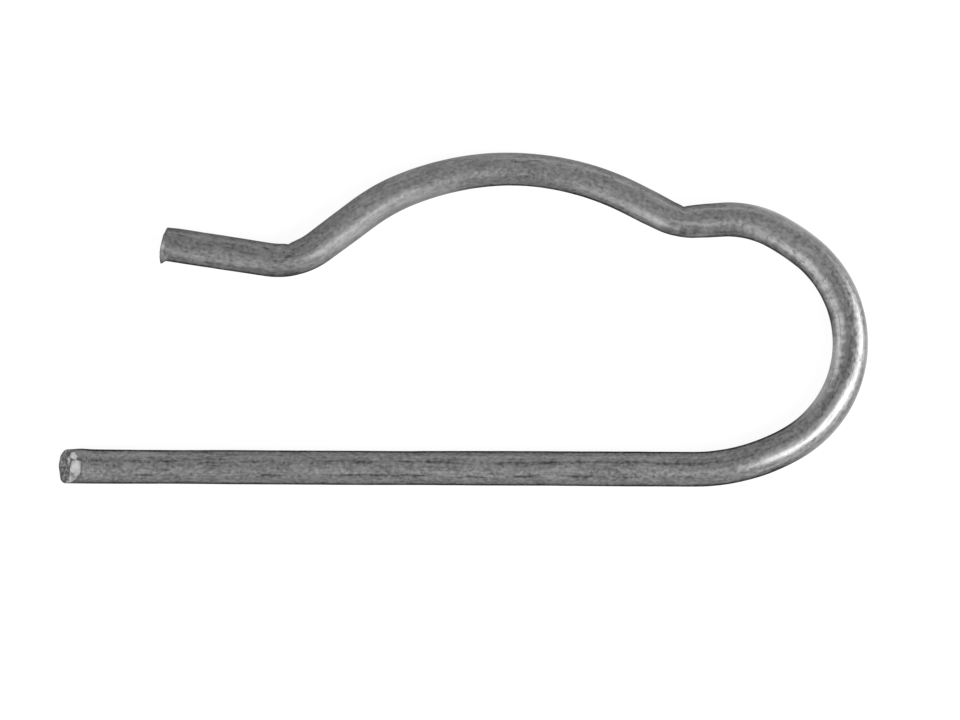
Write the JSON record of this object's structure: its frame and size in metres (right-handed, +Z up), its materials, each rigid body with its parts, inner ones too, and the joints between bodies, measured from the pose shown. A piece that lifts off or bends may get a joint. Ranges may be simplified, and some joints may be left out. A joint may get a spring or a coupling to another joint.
{
  "type": "retaining clip",
  "caption": "Spring-wire retaining clip: a straight leg for a cross hole, an open crown, and a bowed arm that snaps over the outside of a tube or shaft.",
  "frame": {"origin": "centre of the tube that the clip holds, on the axis of the straight leg, under the top of the hump", "axes": "+X along the leg towards the crown, +Y from the leg towards the arm, +Z up out of the clip's plane as it lies flat, which is also the tube's axis"},
  "size_m": [0.0708, 0.0292, 0.003],
  "materials": {
    "spring_steel": "plain drawn spring wire, mid grey, satin, with fine marks along the wire and bare sheared ends"
  },
  "bodies": {
    "root": {"clip_wire": "spring_steel"}
  },
  "joints": []
}
